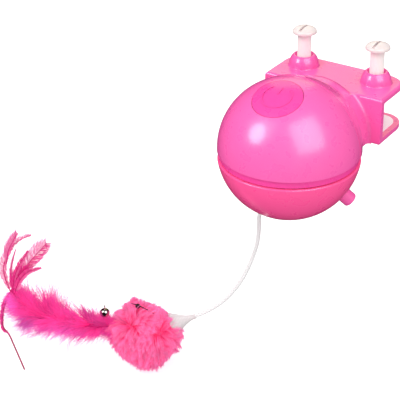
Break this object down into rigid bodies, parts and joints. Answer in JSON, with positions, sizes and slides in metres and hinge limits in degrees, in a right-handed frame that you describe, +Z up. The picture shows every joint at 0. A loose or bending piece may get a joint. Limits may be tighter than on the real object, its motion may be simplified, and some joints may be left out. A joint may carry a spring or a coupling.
{
  "type": "cat laser toy",
  "caption": "Ball-shaped pet toy on a table clamp: a motor turns the lower bowl with a laser and a feather-tailed plush mouse on a cord.",
  "frame": {"origin": "centre of the jaw pad's upper face, where the underside of the table rests", "axes": "+Z up, along the ball's spin axis; +Y into the table, from the ball to the open end of the clamp; +X across the clamp"},
  "size_m": [0.1797, 0.1678, 0.1901],
  "materials": {
    "pink_shell": "glossy hot pink",
    "deep_pink": "glossy deep pink",
    "nylon": "milky, slightly see-through nylon",
    "pad": "soft pale grey",
    "white_plastic": "smooth white",
    "black_plastic": "smooth black",
    "steel": "plated steel",
    "brass": "turned brass",
    "board": "green circuit board",
    "cell": "plain dark sleeve",
    "lens": "clear red",
    "white_cord": "braided white cord",
    "white_cloth": "white cloth",
    "pink_fur": "pink plush",
    "bead": "glossy black",
    "bell": "polished silver",
    "marabou": "magenta down",
    "hackle": "magenta feather",
    "quill": "bare pale quill"
  },
  "bodies": {
    "case": {"dome": "pink_shell", "clamp_bracket": "pink_shell", "jaw_pad": "pad", "chassis": "deep_pink", "case_screws": "steel", "spindle_bush": "brass", "gear_plate": "white_plastic", "gear_plate_screws": "steel", "gear_pins": "steel", "drive_motor": "steel", "battery_tray": "white_plastic", "batteries": "cell", "front_contacts": "steel", "control_board": "board", "tact_switch": "black_plastic", "board_screws": "steel", "brush_block": "black_plastic", "ring_brushes": "brass"},
    "button": {"power_button": "deep_pink", "switch_plunger": "black_plastic"},
    "screw_left": {"clamp_screw_left": "nylon"},
    "screw_right": {"clamp_screw_right": "nylon"},
    "door": {"battery_door": "pink_shell", "door_contacts": "steel"},
    "motor_rotor": {"motor_pinion": "brass", "motor_shaft": "steel"},
    "first_wheel": {"first_gear": "white_plastic"},
    "second_wheel": {"second_gear": "white_plastic"},
    "spinner": {"output_gear": "white_plastic", "spindle": "white_plastic", "ring_sleeve": "black_plastic", "slip_rings": "brass", "spindle_clip": "steel", "bowl_cover": "white_plastic", "bowl_cover_screws": "steel", "bowl": "pink_shell", "laser_nose": "pink_shell", "laser_barrel": "brass", "laser_lens": "lens", "laser_driver_board": "board", "cord_grommet": "white_plastic", "cord_knot": "white_cord", "cord": "white_cord", "toy_muzzle": "white_cloth", "toy_body": "pink_fur", "toy_eyes": "bead", "toy_bell": "bell", "bell_pellet": "steel", "toy_tail": "marabou", "toy_feathers": "hackle", "tail_quill": "quill"}
  },
  "joints": [
    {"name": "bowl_spin", "type": "hinge", "parent": "case", "child": "spinner", "pos_m": [0, -0.05298, 0.0008], "axis": [0, 0, 1], "continuous": true},
    {"name": "second_gear_spin", "type": "hinge", "parent": "case", "child": "second_wheel", "pos_m": [-0.01551, -0.06108, 0.0008], "axis": [0, 0, 1], "continuous": true},
    {"name": "first_gear_spin", "type": "hinge", "parent": "case", "child": "first_wheel", "pos_m": [-0.01129, -0.07178, 0.0008], "axis": [0, 0, 1], "continuous": true},
    {"name": "motor_spin", "type": "hinge", "parent": "case", "child": "motor_rotor", "pos_m": [-0.00001, -0.07398, 0.0008], "axis": [0, 0, 1], "continuous": true},
    {"name": "button_press", "type": "slide", "parent": "case", "child": "button", "axis": [0, -0.3649, 0.9311], "range_m": [-0.0008, 0], "stiffness_N_per_m": 300},
    {"name": "left_screw_travel", "type": "slide", "parent": "case", "child": "screw_left", "axis": [0, 0, 1], "range_m": [-0.0134, 0.0014]},
    {"name": "right_screw_travel", "type": "slide", "parent": "case", "child": "screw_right", "axis": [0, 0, 1], "range_m": [-0.0134, 0.0014]},
    {"name": "battery_door_draw", "type": "slide", "parent": "case", "child": "door", "axis": [0, 1, 0], "range_m": [0, 0.02]}
  ],
  "couplings": [
    {"joint": "second_gear_spin", "follows": "bowl_spin", "ratio": -6},
    {"joint": "first_gear_spin", "follows": "bowl_spin", "ratio": 21.6},
    {"joint": "motor_spin", "follows": "bowl_spin", "ratio": -77.76}
  ]
}
